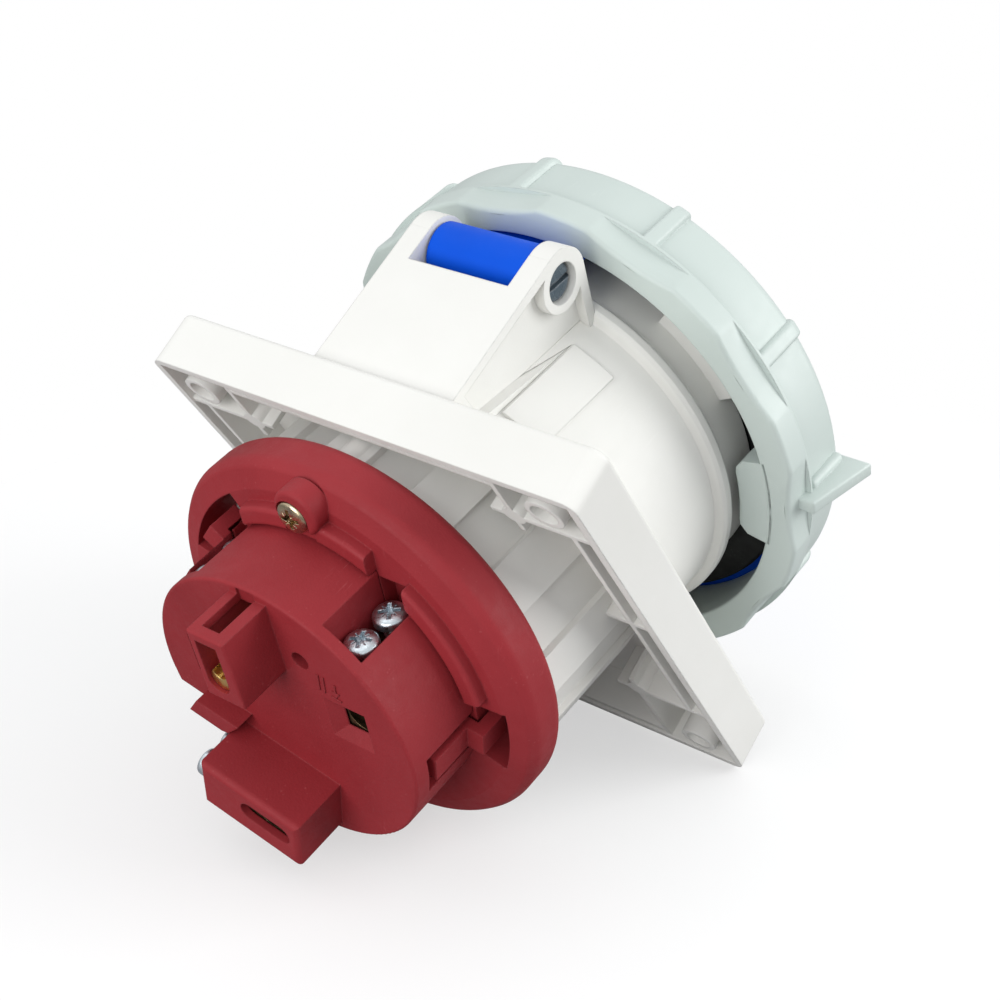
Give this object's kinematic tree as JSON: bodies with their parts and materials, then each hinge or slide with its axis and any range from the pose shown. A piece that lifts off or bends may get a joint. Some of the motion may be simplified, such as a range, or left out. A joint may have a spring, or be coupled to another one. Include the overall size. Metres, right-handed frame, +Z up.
{
  "type": "panel-mounting generator power inlet",
  "caption": "Angled panel-mounting power inlet with a square flange, sprung blue lid, grey bayonet locking ring and a burgundy contact insert with rear screw terminals",
  "frame": {"origin": "centre of the flange's back face, which is the plane Y = 0", "axes": "+X along the flange's width, +Z up towards the lid's hinge, -Y forward to the user"},
  "size_m": [0.1182, 0.1419, 0.1247],
  "materials": {
    "white_plastic": "moulded, warm white, light texture",
    "blue_plastic": "moulded, bright blue, satin",
    "grey_plastic": "moulded, pale greenish grey, satin",
    "red_plastic": "moulded, burgundy, fine speckle and scuffs",
    "dark_polymer": "dark blue-grey, slightly glossy",
    "black_rubber": "soft, matt",
    "spring_steel": "drawn wire",
    "yellow_zinc": "zinc plated, yellowish",
    "bright_zinc": "zinc plated, bright",
    "nickel_brass": "nickel plated brass, turned",
    "bare_brass": "bare brass, machined"
  },
  "bodies": {
    "housing": {"housing_collar": "white_plastic", "housing_flange": "white_plastic", "housing_tower": "white_plastic", "hinge_pin": "dark_polymer", "torsion_spring": "spring_steel", "contact_carrier": "red_plastic", "terminal_block": "red_plastic", "carrier_o_ring": "black_rubber", "carrier_screw": "yellow_zinc", "line_pin": "nickel_brass", "neutral_pin": "nickel_brass", "earth_pin": "nickel_brass", "pilot_pin": "nickel_brass", "line_terminal": "bare_brass", "neutral_terminal": "bare_brass", "earth_terminal": "bare_brass", "pilot_terminal": "bare_brass", "line_clamp_screws": "bright_zinc", "neutral_clamp_screws": "bright_zinc", "earth_clamp_screws": "bright_zinc", "pilot_clamp_screw": "bright_zinc"},
    "lid": {"lid": "blue_plastic", "lid_seal": "black_rubber"},
    "locking_ring": {"locking_ring": "grey_plastic", "retaining_ring": "grey_plastic"}
  },
  "joints": [
    {"name": "lid_hinge", "type": "hinge", "parent": "housing", "child": "lid", "pos_m": [0, -0.04531, 0.04497], "axis": [-1, 0, 0], "range_deg": [0, 125], "stiffness_Nm_per_rad": 0.08, "springref_deg": -85.94},
    {"name": "ring_turn", "type": "hinge", "parent": "lid", "child": "locking_ring", "pos_m": [0, 0, 0.0087], "axis": [0, 0.9336, 0.3584], "range_deg": [0, 40]}
  ]
}
